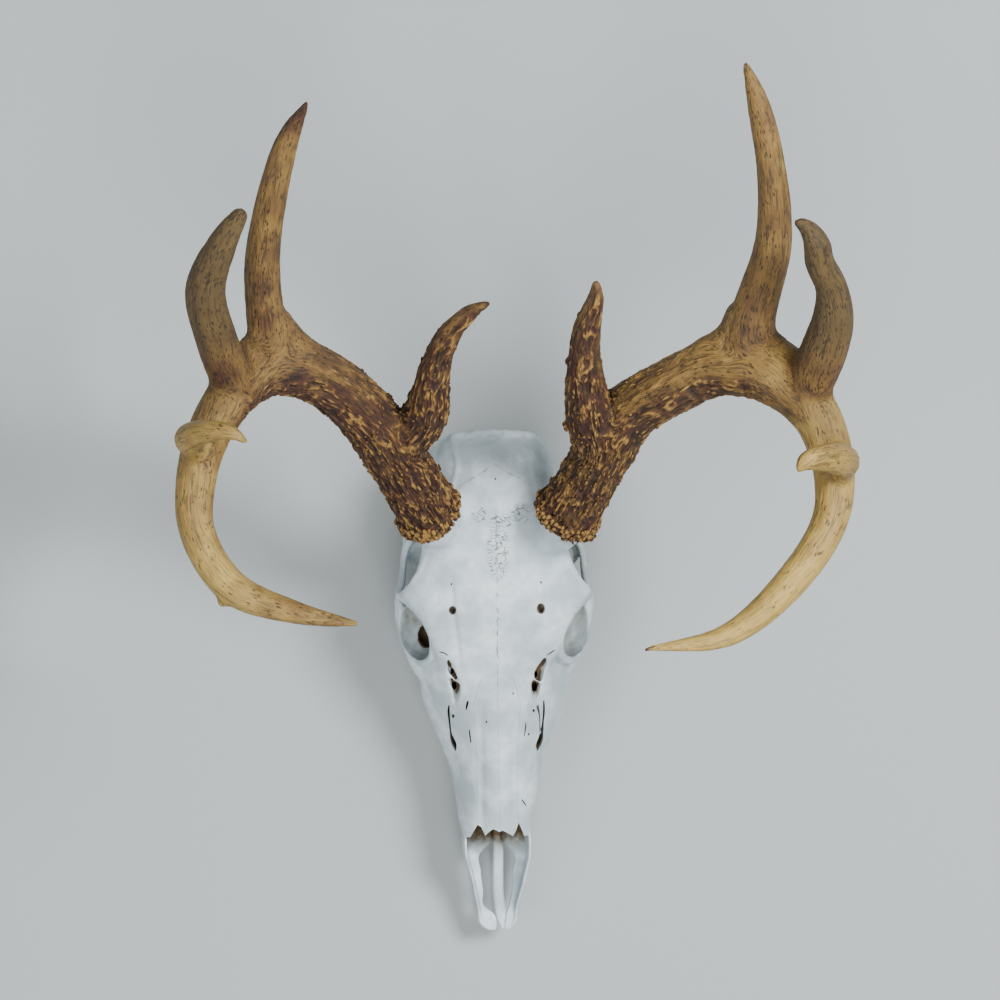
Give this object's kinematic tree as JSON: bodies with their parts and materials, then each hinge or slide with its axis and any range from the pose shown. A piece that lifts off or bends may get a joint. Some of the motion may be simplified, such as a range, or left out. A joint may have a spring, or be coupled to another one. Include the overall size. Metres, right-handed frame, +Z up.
{
  "type": "deer skull",
  "caption": "Upper skull of a white-tailed deer buck with branching antlers, bleached bone, resting on its cheek teeth and the back of its base.",
  "frame": {"origin": "bottom centre of the object's box, on the plane that the skull rests on", "axes": "+Z up, out of the forehead; -Y towards the nose; +X towards the animal's left side"},
  "size_m": [0.361, 0.4836, 0.3052],
  "materials": {
    "bone": "bleached bone, matt, faintly porous, with fine suture lines and greyer hollows",
    "antler": "stained antler, dark and pearled at the burr, ridged along the beam, honey coloured and smooth towards the tips"
  },
  "bodies": {
    "root": {"braincase": "bone", "frontal_bone": "bone", "nasal_bone_right": "bone", "nasal_bone_left": "bone", "maxilla_right": "bone", "maxilla_left": "bone", "zygomatic_arch_right": "bone", "zygomatic_arch_left": "bone", "premaxilla_right": "bone", "premaxilla_left": "bone", "vomer": "bone", "antler_right_burr": "antler", "antler_right_beam_base": "antler", "antler_right_beam_inner": "antler", "antler_right_beam_outer": "antler", "antler_right_beam_tip": "antler", "antler_right_brow_tine": "antler", "antler_right_second_tine": "antler", "antler_right_third_tine": "antler", "antler_right_fourth_tine": "antler", "antler_left_burr": "antler", "antler_left_beam_base": "antler", "antler_left_beam_inner": "antler", "antler_left_beam_outer": "antler", "antler_left_beam_tip": "antler", "antler_left_brow_tine": "antler", "antler_left_second_tine": "antler", "antler_left_third_tine": "antler", "antler_left_fourth_tine": "antler"}
  },
  "joints": []
}
